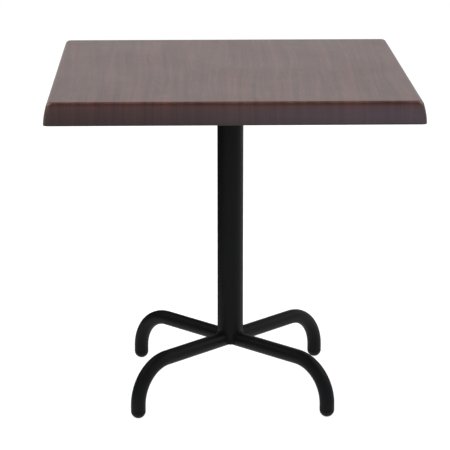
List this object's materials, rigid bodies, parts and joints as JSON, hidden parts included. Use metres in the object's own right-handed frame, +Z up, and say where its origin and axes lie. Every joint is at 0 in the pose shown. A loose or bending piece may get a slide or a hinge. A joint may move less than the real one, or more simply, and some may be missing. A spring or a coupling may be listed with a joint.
{
  "type": "bistro table",
  "caption": "Square cafe table: a moulded wood-laminate top with a deep sloping rim on a black tubular pedestal with bent tube legs and levelling feet.",
  "frame": {"origin": "on the floor, below the centre of the column", "axes": "+Z up; X and Y along the square top's sides, with +Y away from a person at the front; the legs lie on the diagonals"},
  "size_m": [0.8, 0.8, 0.76],
  "materials": {
    "wenge_laminate": "satin wood-print melamine laminate, dark wenge brown",
    "moulded_core": "pressed wood-particle moulding, dark brown, matt",
    "backing_paper": "matt brown resin paper",
    "insert_brass": "plain turned brass",
    "zinc_steel": "bright zinc plate",
    "black_powder_coat": "satin black powder coat",
    "black_plastic": "satin black moulded polyethylene"
  },
  "bodies": {
    "table_frame": {"tabletop_decor_laminate": "wenge_laminate", "tabletop_core": "moulded_core", "tabletop_backing_sheet": "backing_paper", "threaded_inserts": "insert_brass", "spider_screws": "zinc_steel", "spider_washers": "zinc_steel", "spider_long_bar": "black_powder_coat", "spider_short_bar_left": "black_powder_coat", "spider_short_bar_right": "black_powder_coat", "spider_welds": "black_powder_coat", "column_tube": "black_powder_coat", "leg_welds": "black_powder_coat", "gusset_back_right": "black_powder_coat", "leg_back_right": "black_powder_coat", "foot_plug_back_right": "black_plastic", "foot_nut_back_right": "zinc_steel", "gusset_back_left": "black_powder_coat", "leg_back_left": "black_powder_coat", "foot_plug_back_left": "black_plastic", "foot_nut_back_left": "zinc_steel", "gusset_front_left": "black_powder_coat", "leg_front_left": "black_powder_coat", "foot_plug_front_left": "black_plastic", "foot_nut_front_left": "zinc_steel", "gusset_front_right": "black_powder_coat", "leg_front_right": "black_powder_coat", "foot_plug_front_right": "black_plastic", "foot_nut_front_right": "zinc_steel"},
    "levelling_foot_back_right": {"foot_dome_back_right": "black_plastic", "foot_stud_back_right": "zinc_steel"},
    "levelling_foot_back_left": {"foot_dome_back_left": "black_plastic", "foot_stud_back_left": "zinc_steel"},
    "levelling_foot_front_left": {"foot_dome_front_left": "black_plastic", "foot_stud_front_left": "zinc_steel"},
    "levelling_foot_front_right": {"foot_dome_front_right": "black_plastic", "foot_stud_front_right": "zinc_steel"}
  },
  "joints": [
    {"name": "level_back_right", "type": "slide", "parent": "table_frame", "child": "levelling_foot_back_right", "axis": [0, 0, -1], "range_m": [0, 0.01]},
    {"name": "level_back_left", "type": "slide", "parent": "table_frame", "child": "levelling_foot_back_left", "axis": [0, 0, -1], "range_m": [0, 0.01]},
    {"name": "level_front_left", "type": "slide", "parent": "table_frame", "child": "levelling_foot_front_left", "axis": [0, 0, -1], "range_m": [0, 0.01]},
    {"name": "level_front_right", "type": "slide", "parent": "table_frame", "child": "levelling_foot_front_right", "axis": [0, 0, -1], "range_m": [0, 0.01]}
  ]
}
